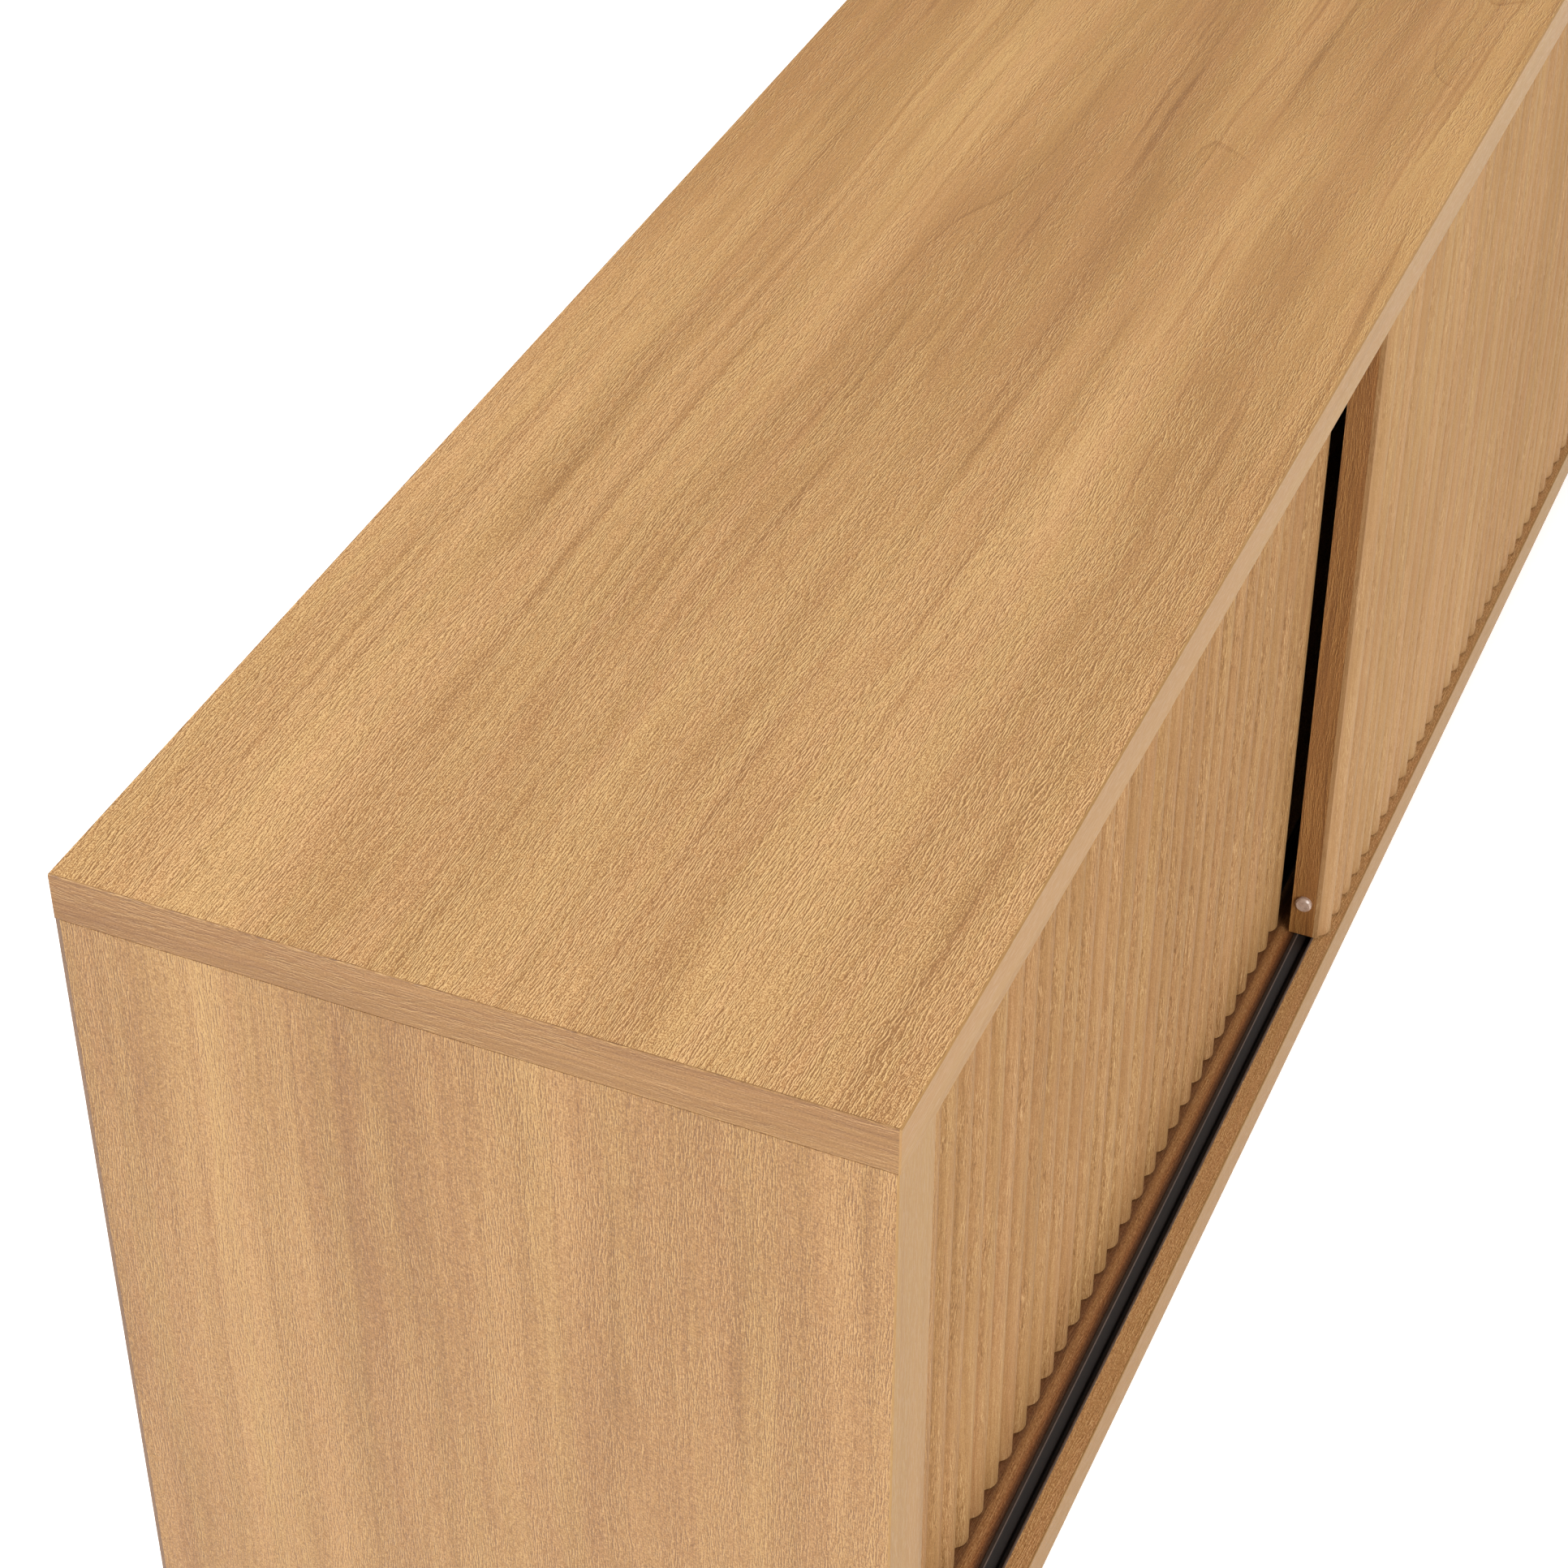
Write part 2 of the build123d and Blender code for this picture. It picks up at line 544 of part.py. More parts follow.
class Door:
    """Where one closed door is: the left door runs in lane 1, the right door in lane 0."""

    def __init__(self, name, sign, lane):
        self.name = name
        self.lane = lane
        inner = sign * (DOOR_OUTER_X - DOOR_WIDTH)
        self.x0, self.x1 = sorted((sign * DOOR_OUTER_X, inner))
        self.crest_y = FRONT_Y + FRONT_DOOR_SETBACK + lane * DOOR_PITCH
        self.valley_y = self.crest_y + REED_HEIGHT
        self.board_y = self.valley_y + FACING_BACKING
        self.back_y = self.board_y + DOOR_BOARD_THICKNESS
        self.fitting_x = (self.x0 + ROLLER_INSET, self.x1 - ROLLER_INSET)
        self.track_y = lane_y(lane)

    def housing_block(self, x, length, z0, z1):
        half = HOUSING_WIDTH / 2
        x0, x1 = x - length / 2, x + length / 2
        return block(x0, x1, self.track_y - half, self.track_y + half, z0, z1)

    def roller_pocket(self, x):
        z1 = DOOR_BOTTOM + ROLLER_HOUSING_HEIGHT
        return self.housing_block(x, ROLLER_HOUSING_LENGTH, DOOR_BOTTOM, z1)

    def guide_pocket(self, x):
        z0 = DOOR_TOP - GUIDE_HOUSING_HEIGHT
        return self.housing_block(x, GUIDE_HOUSING_LENGTH, z0, DOOR_TOP)

    def board(self):
        panel = block(self.x0, self.x1, self.board_y, self.back_y, DOOR_BOTTOM, DOOR_TOP)
        cuts = [self.roller_pocket(x) for x in self.fitting_x]
        cuts += [self.guide_pocket(x) for x in self.fitting_x]
        return panel - cuts

    def reed_edges(self):
        """The wave of the facing: a wide crest and a narrower valley, tangent where they meet."""
        slope = 2 * atan2(REED_HEIGHT, REED_PITCH / 2)
        crest_half = REED_CREST_SHARE * REED_PITCH / 2
        crest_radius = crest_half / sin(slope)
        join_y = self.crest_y + crest_radius * (1 - cos(slope))
        edges = []
        last = Vector(self.x0, self.valley_y)
        valley_half = REED_PITCH / 2 - crest_half
        valley_radius = valley_half / sin(slope)
        half_turn = slope / 2
        for n in range(REED_COUNT):
            middle = self.x0 + (n + 0.5) * REED_PITCH
            crest = Vector(middle, self.crest_y)
            before = Vector(middle - crest_half, join_y)
            after = Vector(middle + crest_half, join_y)
            end = Vector(middle + REED_PITCH / 2, self.valley_y)
            dip_x = valley_radius * sin(half_turn)
            dip_y = self.valley_y - valley_radius * (1 - cos(half_turn))
            edges.append(ThreePointArc(last, Vector(last.X + dip_x, dip_y), before))
            edges.append(ThreePointArc(before, crest, after))
            edges.append(ThreePointArc(after, Vector(end.X - dip_x, dip_y), end))
            last = end
        return edges, last

    def facing(self):
        edges, last = self.reed_edges()
        back_right = Vector(last.X, self.board_y)
        back_left = Vector(self.x0, self.board_y)
        start = Vector(self.x0, self.valley_y)
        edges += [Line(last, back_right), Line(back_right, back_left), Line(back_left, start)]
        outline = Face(Wire(edges))
        return Pos(0, 0, DOOR_BOTTOM) * extrude(outline, DOOR_TOP - DOOR_BOTTOM, dir=(0, 0, 1))

    def bumper(self, x, outward, z):
        """A clear round pad with a domed crown."""
        y = (self.board_y + self.back_y) / 2
        base = Plane(origin=(x, y, z), z_dir=(outward, 0, 0))
        rim = BUMPER_DIAMETER / 2
        crown = BUMPER_CROWN_DIAMETER / 2
        wall_top = BUMPER_HEIGHT - (rim - crown)
        wall = ((0, 0), (rim, 0), (rim, wall_top))
        outline = Polyline(*wall, (crown, BUMPER_HEIGHT), (0, BUMPER_HEIGHT), close=True)
        pad = revolve(Plane.XZ * make_face(outline), Axis.Z)
        return base.location * pad

    def bumpers(self):
        heights = (DOOR_BOTTOM + BUMPER_INSET, DOOR_TOP - BUMPER_INSET)
        return [self.bumper(x, d, z) for x, d in ((self.x0, -1), (self.x1, 1)) for z in heights]

    def axle(self, x):
        start = (x, self.track_y - HOUSING_WIDTH / 2, ROLLER_CENTRE)
        return rod(start, (0, 1, 0), AXLE_DIAMETER, HOUSING_WIDTH)

    def roller_housing(self, x):
        slot_half = ROLLER_SLOT_WIDTH / 2
        slot_top = ROLLER_CENTRE + ROLLER_DIAMETER / 2 + 1.0
        half_length = ROLLER_SLOT_LENGTH / 2
        y0, y1 = self.track_y - slot_half, self.track_y + slot_half
        slot = block(x - half_length, x + half_length, y0, y1, DOOR_BOTTOM, slot_top)
        return self.roller_pocket(x) - slot - self.axle(x)

    def roller(self, x):
        start = (x, self.track_y - ROLLER_THICKNESS / 2, ROLLER_CENTRE)
        wheel = rod(start, (0, 1, 0), ROLLER_DIAMETER, ROLLER_THICKNESS)
        rims = wheel.edges().filter_by(GeomType.CIRCLE)
        wheel = fillet(rims, ROLLER_EDGE_RADIUS)
        bore = AXLE_DIAMETER + 2 * AXLE_CLEARANCE
        return wheel - rod(start, (0, 1, 0), bore, ROLLER_THICKNESS)

    def guide_housing(self, x):
        z0 = DOOR_TOP - GUIDE_HOUSING_HEIGHT
        half_x = GUIDE_PIN_LENGTH / 2 + GUIDE_PIN_CLEARANCE
        half_y = GUIDE_PIN_THICKNESS / 2 + GUIDE_PIN_CLEARANCE
        y0, y1 = self.track_y - half_y, self.track_y + half_y
        shaft = block(x - half_x, x + half_x, y0, y1, z0 + 1.0, DOOR_TOP)
        return self.guide_pocket(x) - shaft

    def guide_pin(self, x):
        z1 = DOOR_TOP + GUIDE_PIN_RISE
        half_x = GUIDE_PIN_LENGTH / 2
        half_y = GUIDE_PIN_THICKNESS / 2
        y0, y1 = self.track_y - half_y, self.track_y + half_y
        pin = block(x - half_x, x + half_x, y0, y1, z1 - GUIDE_PIN_HEIGHT, z1)
        crown = pin.faces().sort_by(Axis.Z)[-1].edges()
        return fillet(crown, GUIDE_PIN_EDGE_RADIUS)

    def write(self):
        save(self.board(), f"{self.name}_board")
        save(self.facing(), f"{self.name}_facing")
        save_group(self.bumpers(), f"{self.name}_bumpers")
        save_group([self.roller_housing(x) for x in self.fitting_x], f"{self.name}_roller_housings")
        save_group([self.axle(x) for x in self.fitting_x], f"{self.name}_roller_axles")
        save_group([self.guide_housing(x) for x in self.fitting_x], f"{self.name}_guide_housings")
        for x, end in zip(self.fitting_x, ("left", "right")):
            save(self.roller(x), f"{self.name}_{end}_roller")
            save(self.guide_pin(x), f"{self.name}_{end}_guide_pin")


# ---------------------------------------------------------------- everything


def write_case():
    save(top_panel(), "top_panel")
    save(top_front_band(), "top_front_band")
    save(bottom_panel(), "bottom_panel")
    save(bottom_front_band(), "bottom_front_band")
    save(centre_divider(), "centre_divider")
    save(centre_divider_band(), "centre_divider_front_band")
    for sign, side in ((-1, "left"), (1, "right")):
        save(top_end_band(sign), f"top_{side}_end_band")
        save(side_panel(sign), f"{side}_side_panel")
        save(side_front_band(sign), f"{side}_side_front_band")
        save(shelf(sign), f"{side}_shelf")
        save(shelf_band(sign), f"{side}_shelf_front_band")
        save(back_panel(sign), f"{side}_back_panel")
    for lane, place in ((0, "front"), (1, "rear")):
        save(track(lane, at_top=False), f"{place}_bottom_track")
        save(track(lane, at_top=True), f"{place}_top_track")


def write_fasteners():
    cams = DIVIDER_TOP_CAMS + DIVIDER_BOTTOM_CAMS
    dowels = divider_dowels()
    for sign in (-1, 1):
        cams += side_top_cams(sign) + side_bottom_cams(sign)
        dowels += side_top_dowels(sign) + side_bottom_dowels(sign)
    save_group([joint.cam() for joint in cams], "cam_locks")
    save_group([joint.bolt() for joint in cams], "cam_bolts")
    save_group(dowels, "dowels")
    save_group(shelf_pins(), "shelf_pins")
    save_group([back_screw(x, z) for x, z in back_screw_places()], "back_panel_screws")
    save_group([foot(x, y) for x, y in foot_places()], "feet")
    save_group([foot_screw(x, y) for x, y in foot_places()], "foot_screws")


def main():
    os.makedirs("parts", exist_ok=True)
    write_case()
    write_fasteners()
    Door("left_door", -1, 1).write()
    Door("right_door", 1, 0).write()


main()
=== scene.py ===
"""The looks of the media cabinet: oak laminate boards, reeded doors, dark channels, clear bumpers."""

import json
import math

import bmesh
import bpy
from mathutils import Matrix, Vector


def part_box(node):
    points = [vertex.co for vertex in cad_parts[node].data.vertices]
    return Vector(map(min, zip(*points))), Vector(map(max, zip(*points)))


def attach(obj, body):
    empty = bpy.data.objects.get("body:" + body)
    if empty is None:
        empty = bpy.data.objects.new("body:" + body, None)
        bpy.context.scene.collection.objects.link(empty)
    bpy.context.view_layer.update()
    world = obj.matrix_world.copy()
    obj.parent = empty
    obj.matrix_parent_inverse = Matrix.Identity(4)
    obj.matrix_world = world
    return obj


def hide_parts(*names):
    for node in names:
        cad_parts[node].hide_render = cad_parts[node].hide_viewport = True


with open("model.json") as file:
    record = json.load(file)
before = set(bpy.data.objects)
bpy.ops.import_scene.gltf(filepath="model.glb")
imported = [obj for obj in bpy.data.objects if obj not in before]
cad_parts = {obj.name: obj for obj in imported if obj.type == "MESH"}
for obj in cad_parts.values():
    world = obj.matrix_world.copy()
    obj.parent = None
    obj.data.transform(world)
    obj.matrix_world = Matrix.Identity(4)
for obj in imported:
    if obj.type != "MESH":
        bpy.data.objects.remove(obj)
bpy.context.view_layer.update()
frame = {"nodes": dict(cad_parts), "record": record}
NODES = frame["nodes"]

# ---------------------------------------------------------------- sizes, in metres

# a door's reeds: their height from valley to crest, and the share of the pitch that the crest's arc takes
REED_COUNT = 33
REED_HEIGHT = 0.0052
REED_CREST_SHARE = 0.6

# the steps of half a crest's arc and of half a valley's
CREST_STEPS = 10
VALLEY_STEPS = 8

# how far a facing's upper and lower rims are eased, and the share of it where they bend
FACING_EASE = 0.0004
FACING_EASE_BEND = 0.3

# a higher power gathers the painted shade closer to the lines between reeds
VALLEY_POWER = 4

# the bottom channels, measured along Y: the middle of the front slot, and the steps of the profile from it
TRACK_WIDTH = 0.0123
DOOR_PITCH = 0.0316
SLOT_MIDDLE = -0.1849
SLOT_HALF = 0.002
SHOULDER_END = 0.0064
ARRIS_WIDTH = 0.0006
LANE_START = 0.010

# the camera, in metres, degrees and millimetres
CAMERA_PLACE = (-1.73876, -0.58237, 1.58238)
CAMERA_HEADING = 23.591
CAMERA_TILT = 38.792
CAMERA_ROLL = -0.114
LENS = 84.67
SENSOR = 36.0

# ---------------------------------------------------------------- node helpers


def linear(r, g, b):
    """An 8-bit display colour as linear RGBA."""

    def channel(c):
        c /= 255.0
        return c / 12.92 if c <= 0.04045 else ((c + 0.055) / 1.055) ** 2.4

    return (channel(r), channel(g), channel(b), 1.0)


# a face looks along an axis when its normal has at least this much of it
FACES_ACROSS = 0.7


class Material:
    """A Principled material and the calls that build its nodes."""

    def __init__(self, name, **shader):
        self.mat = bpy.data.materials.new(name)
        self.mat.use_nodes = True
        self.tree = self.mat.node_tree
        self.tree.nodes.clear()
        self.output = self.node("ShaderNodeOutputMaterial")
        self.shader = self.node("ShaderNodeBsdfPrincipled")
        self.tree.links.new(self.shader.outputs[0], self.output.inputs["Surface"])
        for key, value in shader.items():
            self.shader.inputs[key.replace("_", " ")].default_value = value

    def node(self, kind, **settings):
        """A new node with these settings."""
        made = self.tree.nodes.new(kind)
        for key, value in settings.items():
            setattr(made, key, value)
        return made

    def plug(self, socket, value):
        """Links an output, or sets a plain value."""
        if isinstance(value, bpy.types.NodeSocket):
            self.tree.links.new(value, socket)
        else:
            socket.default_value = value

    def math(self, operation, a, b=0.0):
        """The result of one sum."""
        made = self.node("ShaderNodeMath", operation=operation)
        self.plug(made.inputs[0], a)
        self.plug(made.inputs[1], b)
        return made.outputs[0]

    def axes(self):
        """The piece's own X, Y and Z in metres."""
        split = self.node("ShaderNodeSeparateXYZ")
        place = self.node("ShaderNodeTexCoord")
        self.plug(split.inputs[0], place.outputs["Object"])
        return split.outputs[0], split.outputs[1], split.outputs[2]

    def grain_axes(self, grain, flat):
        """The axes along the grain, across it and through the board. grain is two letters, such as xy.

        On a flat board, a face that looks along the second axis is crossed by the third one instead.
        """
        names = grain + "xyz".replace(grain[0], "").replace(grain[1], "")
        places = dict(zip("xyz", self.axes()))
        along, across, third = (places[name] for name in names)
        if not flat:
            return along, across, third
        look = self.node("ShaderNodeSeparateXYZ")
        self.plug(look.inputs[0], self.node("ShaderNodeTexCoord").outputs["Normal"])
        look_across = self.math("ABSOLUTE", look.outputs["xyz".index(names[1])])
        faces_across = self.math("GREATER_THAN", look_across, FACES_ACROSS)
        swapped = [self.blend(faces_across, a, b) for a, b in ((across, third), (third, across))]
        return along, swapped[0], swapped[1]

    def between(self, value, low, high):
        """1 where the value lies between two limits, else 0."""
        above = self.math("GREATER_THAN", value, low)
        return self.math("MULTIPLY", above, self.math("LESS_THAN", value, high))

    def attribute(self, name):
        """A number that a mesh carries at its points."""
        return self.node("ShaderNodeAttribute", attribute_name=name).outputs["Fac"]

    def blend(self, share, a, b):
        """A number between a and b."""
        made = self.node("ShaderNodeMix", data_type="FLOAT")
        for socket, value in zip(made.inputs[0:1] + made.inputs[2:4], (share, a, b)):
            self.plug(socket, value)
        return made.outputs[0]

    def vector(self, x, y, z):
        """A vector of three numbers."""
        made = self.node("ShaderNodeCombineXYZ")
        for socket, value in zip(made.inputs, (x, y, z)):
            self.plug(socket, value)
        return made.outputs[0]

    def noise(self, place, scale, detail, roughness, distortion, seed):
        """Noise of 0 to 1. Each seed moves it to another place."""
        made = self.node("ShaderNodeTexNoise", noise_dimensions="3D")
        moved = self.node("ShaderNodeVectorMath", operation="ADD")
        self.plug(moved.inputs[0], place)
        moved.inputs[1].default_value = (5.3 * seed, 3.7 * seed, 7.1 * seed)
        self.plug(made.inputs["Vector"], moved.outputs[0])
        made.inputs["Scale"].default_value = scale
        made.inputs["Detail"].default_value = detail
        made.inputs["Roughness"].default_value = roughness
        made.inputs["Distortion"].default_value = distortion
        return made.outputs["Fac"]

    def remap(self, value, low, high, to_low=0.0, to_high=1.0, smooth=True):
        """Carries low to high over to the other two numbers, and holds the value there past them."""
        kind = "SMOOTHSTEP" if smooth else "LINEAR"
        made = self.node("ShaderNodeMapRange", interpolation_type=kind, clamp=True)
        for socket, number in zip(made.inputs[:5], (value, low, high, to_low, to_high)):
            self.plug(socket, number)
        return made.outputs[0]

    def ramp(self, value, *stops):
        """A colour ramp; each stop is (place, linear colour)."""
        made = self.node("ShaderNodeValToRGB")
        points = made.color_ramp.elements
        while len(points) < len(stops):
            points.new(1.0)
        for point, (place, colour) in zip(points, stops):
            point.position = place
            point.color = colour
        self.plug(made.inputs[0], value)
        return made.outputs[0]

    def mix(self, share, a, b, blend="MIX"):
        """A colour between a and b, or b laid on a in that way of blending."""
        made = self.node("ShaderNodeMix", data_type="RGBA", blend_type=blend)
        self.plug(made.inputs[0], share)
        self.plug(made.inputs[6], a)
        self.plug(made.inputs[7], b)
        return made.outputs[2]

    def bump(self, height, distance):
        """A relief whose height of 0 to 1 stands for that distance in metres."""
        made = self.node("ShaderNodeBump")
        made.inputs["Strength"].default_value = 1.0
        made.inputs["Distance"].default_value = distance
        self.plug(made.inputs["Height"], height)
        return made.outputs[0]

    def finish(self, colour, roughness=None, normal=None):
        """Plugs the colour and what else is given into the shader, and returns the material."""
        for key, value in (("Base Color", colour), ("Roughness", roughness), ("Normal", normal)):
            if value is not None:
                self.plug(self.shader.inputs[key], value)
        return self.mat


# ---------------------------------------------------------------- wood laminate

TONES = {
    "dark": linear(152, 109, 64),
    "middle": linear(196, 150, 99),
    "light": linear(236, 196, 144),
}
PINK_SHIFT = (1.012, 0.992, 1.015)
GOLD_SHIFT = (0.992, 1.005, 0.975)

# the layers of the print: cycles per metre along and across the grain, detail, roughness, place of the seed
LAYERS = {
    "waver": (2.6, 5.0, 2.0, 0.5, 0.0),
    "ripple": (30.0, 60.0, 2.0, 0.6, 3.1),
    "broad": (1.3, 17.0, 2.0, 0.5, 7.7),
    "narrow": (2.4, 60.0, 3.0, 0.6, 9.2),
    "fine": (9.0, 520.0, 2.0, 0.6, 17.0),
    "vein": (3.2, 170.0, 2.0, 0.5, 19.0),
    "ring": (0.75, 7.5, 1.0, 0.5, 11.3),
    "ring share": (1.7, 9.0, 1.0, 0.5, 13.9),
    "dash": (150.0, 1250.0, 2.0, 0.6, 31.0),
    "patch": (14.0, 70.0, 2.0, 0.6, 23.0),
    "speckle": (1100.0, 1800.0, 0.0, 0.5, 27.0),
    "hue": (3.0, 70.0, 3.0, 0.6, 41.0),
}

# how far the print wavers from side to side, in metres
WAVER_REACH = 0.020
RIPPLE_REACH = 0.0024

# what each layer adds to the tone, where 0 is the dark tone and 1 is the light one
MEAN_TONE = 0.52
BROAD_SHARE = 0.55
NARROW_SHARE = 0.24
FINE_SHARE = 2.0
VEIN_SHARE = -0.20
RING_SHARE = -0.10
RING_EDGE_SHARE = -0.30
SPECKLE_SHARE = 0.9
GRIT_SHARE = 1.7

RING_COUNT = 19.0
PRESS_HALF_WIDTH = 0.00014
GRIT_SCALE = 820.0
GRIT_WARP_SCALE = 420.0
GRIT_WARP_ALONG = 0.004
GRIT_WARP_ACROSS = 0.003
LAMINATE_RELIEF = 0.00010

# painted shadow on the strip between the two channels, from the front one to the rear one: dark beside the
# front channel and under the rear door, where shade falls
STRIP_PAINTED_SHADOW = (
    (0.0, (0.12, 0.08, 0.07, 1.0)), (0.11, (0.20, 0.13, 0.10, 1.0)), (0.22, (0.54, 0.39, 0.31, 1.0)),
    (0.34, (0.73, 0.64, 0.57, 1.0)), (0.42, (0.70, 0.60, 0.52, 1.0)), (0.50, (0.58, 0.48, 0.40, 1.0)),
    (0.58, (0.34, 0.25, 0.19, 1.0)), (0.80, (0.30, 0.21, 0.16, 1.0)), (1.0, (1.0, 1.0, 1.0, 1.0)))


def laminate(name, grain, seed, tint, bands=1.0, lines=0.1, press=1.0, relief=1.0, rings=1.0, veins=1.0,
             sand=0.0, fade=None, drift=None, flat=True, roughness=0.46, sheen=0.5, valley=0.0,
             painted_shadow_start=None):
    """Printed oak with short dashes pressed into it. grain names the axis along it, then across it.

    bands, lines, rings and veins set how strong the print is; press sets the painted light and shade on the
    dashes' flanks and the speckle, relief the bump of the dashes, and sand an even grit. fade weakens the
    dashes along the board. drift says from where to where the colour shifts along it, and by what tint.
    valley paints shade into the lines between reeds. The strip start is the Y where the painted shadow on
    the strip between the channels begins.
    """
    m = Material(name, IOR=1.45, Specular_IOR_Level=sheen)
    along, across, third = m.grain_axes(grain, flat)

    def scaled(value, amount):
        return m.math("MULTIPLY", value, amount)

    def centred(value, amount):
        return scaled(m.math("SUBTRACT", value, 0.5), amount)

    def total(*parts):
        result = parts[0]
        for part in parts[1:]:
            result = m.math("ADD", result, part)
        return result

    def layer(kind, side):
        along_scale, side_scale, detail, layer_roughness, place = LAYERS[kind]
        stretched = m.vector(scaled(along, along_scale), scaled(side, side_scale), scaled(third, side_scale))
        return m.noise(stretched, 1.0, detail, layer_roughness, 0.0, seed + place)

    waver = centred(layer("waver", across), WAVER_REACH)
    side = total(across, waver, centred(layer("ripple", across), RIPPLE_REACH))

    # growth rings: each darkens slowly, then ends at a crisp edge, and most fade out
    ring = m.math("FRACT", scaled(layer("ring", side), RING_COUNT))
    ring_share = m.remap(layer("ring share", side), 0.50, 0.68)
    ring_dark = m.math("MULTIPLY", m.remap(ring, 0.2, 1.0), ring_share)
    ring_edge = m.math("MULTIPLY", m.remap(ring, 0.965, 0.985), ring_share)

    # dashes: sunk where the field is low, each with a painted light flank and a painted shaded flank,
    # stronger in patches
    def dash(shift):
        return m.remap(layer("dash", m.math("ADD", side, shift)), 0.44, 0.68)

    flank_painted_light_and_shade = m.math("SUBTRACT", dash(PRESS_HALF_WIDTH), dash(-PRESS_HALF_WIDTH))
    strength = m.remap(layer("patch", side), 0.36, 0.62, 0.35 * press, 1.35 * press)
    speckle = centred(layer("speckle", across), SPECKLE_SHARE * press)
    if fade:
        left = m.remap(along, *fade)
        strength = m.math("MULTIPLY", strength, left)
        speckle = m.math("MULTIPLY", speckle, left)

    # grit: an even grain, warped so that it shows no grid
    warp = m.noise(m.vector(along, across, third), GRIT_WARP_SCALE, 1.0, 0.5, 0.0, seed + 28.0)
    warped = m.vector(total(along, centred(warp, GRIT_WARP_ALONG)),
                      total(across, centred(warp, GRIT_WARP_ACROSS)), third)
    grit = m.noise(warped, GRIT_SCALE, 1.0, 0.5, 0.0, seed + 29.0)

    tone = total(
        centred(layer("broad", side), BROAD_SHARE * bands),
        centred(layer("narrow", side), NARROW_SHARE * bands),
        centred(layer("fine", side), FINE_SHARE * lines),
        scaled(m.remap(layer("vein", side), 0.26, 0.44, 1.0, 0.0), VEIN_SHARE * bands * veins),
        scaled(ring_dark, RING_SHARE * bands * rings),
        scaled(ring_edge, RING_EDGE_SHARE * bands * rings),
        m.math("MULTIPLY", flank_painted_light_and_shade, strength),
        speckle,
        centred(grit, GRIT_SHARE * sand),
        # painted shade in the lines between reeds
        scaled(m.attribute("valley"), -valley) if valley else 0.0,
        MEAN_TONE,
    )

    def tinted(colour, shift):
        return tuple(c * t * s for c, t, s in zip(colour, tint, shift)) + (1.0,)

    shades = [m.ramp(tone, (0.0, tinted(TONES["dark"], shift)), (0.5, tinted(TONES["middle"], shift)),
                     (1.0, tinted(TONES["light"], shift))) for shift in (GOLD_SHIFT, PINK_SHIFT)]
    colour = m.mix(m.remap(layer("hue", side), 0.35, 0.65), *shades)
    if drift:
        start, end, far_tint = drift
        drifted = m.mix(1.0, colour, far_tint + (1.0,), "MULTIPLY")
        colour = m.mix(m.remap(along, start, end), colour, drifted)
    # painted shadow on the strip between the channels: darker beside the front channel and under the rear
    # door
    if painted_shadow_start is not None:
        y = m.axes()[1]
        behind = m.remap(y, painted_shadow_start, painted_shadow_start + DOOR_PITCH - TRACK_WIDTH, smooth=False)
        shaded = m.mix(1.0, colour, m.ramp(behind, *STRIP_PAINTED_SHADOW), "MULTIPLY")
        before = m.math("LESS_THAN", y, painted_shadow_start - TRACK_WIDTH)
        colour = m.mix(before, shaded, colour)

    sunk = dash(0.0)
    height = total(sunk, scaled(ring_edge, -0.6 * rings), scaled(grit, 2.5 * sand))
    gloss = m.remap(sunk, 0.0, 1.0, roughness + 0.12, roughness)
    return m.finish(colour, gloss, m.bump(height, LAMINATE_RELIEF * relief))


# ---------------------------------------------------------------- other materials


MOULDED_RELIEF = 0.00002

# painted light and shade: what each part of the channel's profile adds to its brightness, which is 1
# elsewhere
FRONT_LIP_PAINTED_LIGHT = 1.8
SHOULDER_PAINTED_SHADE = -0.5
ARRIS_PAINTED_HIGHLIGHT = 2.2


def back_board():
    """Thin hard fibreboard with a smooth brown face."""
    m = Material("back_board", IOR=1.45)
    x, y, z = m.axes()
    cloud = m.noise(m.vector(x, y, z), 14.0, 4.0, 0.6, 0.0, 2.0)
    fibres = m.noise(m.vector(x, y, z), 900.0, 3.0, 0.6, 0.8, 5.0)
    tone = m.math("ADD", m.math("MULTIPLY", cloud, 0.3), m.math("MULTIPLY", fibres, 0.7))
    colour = m.ramp(tone, (0.3, linear(98, 75, 58)), (0.7, linear(124, 97, 76)))
    return m.finish(colour, m.remap(fibres, 0.3, 0.7, 0.75, 0.6), m.bump(fibres, 0.00006))


def moulded(name, colour, roughness, grain_scale=1400.0):
    """Plastic with a fine moulded skin."""
    m = Material(name)
    x, y, z = m.axes()
    skin = m.noise(m.vector(x, y, z), grain_scale, 2.0, 0.5, 0.0, 1.0)
    cloud = m.noise(m.vector(x, y, z), 35.0, 3.0, 0.6, 0.0, 4.0)
    darker = tuple(c * 0.86 for c in colour[:3]) + (1.0,)
    lighter = tuple(min(1.0, c * 1.12) for c in colour[:3]) + (1.0,)
    tone = m.math("ADD", m.math("MULTIPLY", skin, 0.5), m.math("MULTIPLY", cloud, 0.5))
    shade = m.ramp(tone, (0.3, darker), (0.7, lighter))
    gloss = m.remap(cloud, 0.3, 0.7, roughness - 0.05, roughness + 0.07)
    return m.finish(shade, gloss, m.bump(skin, MOULDED_RELIEF))


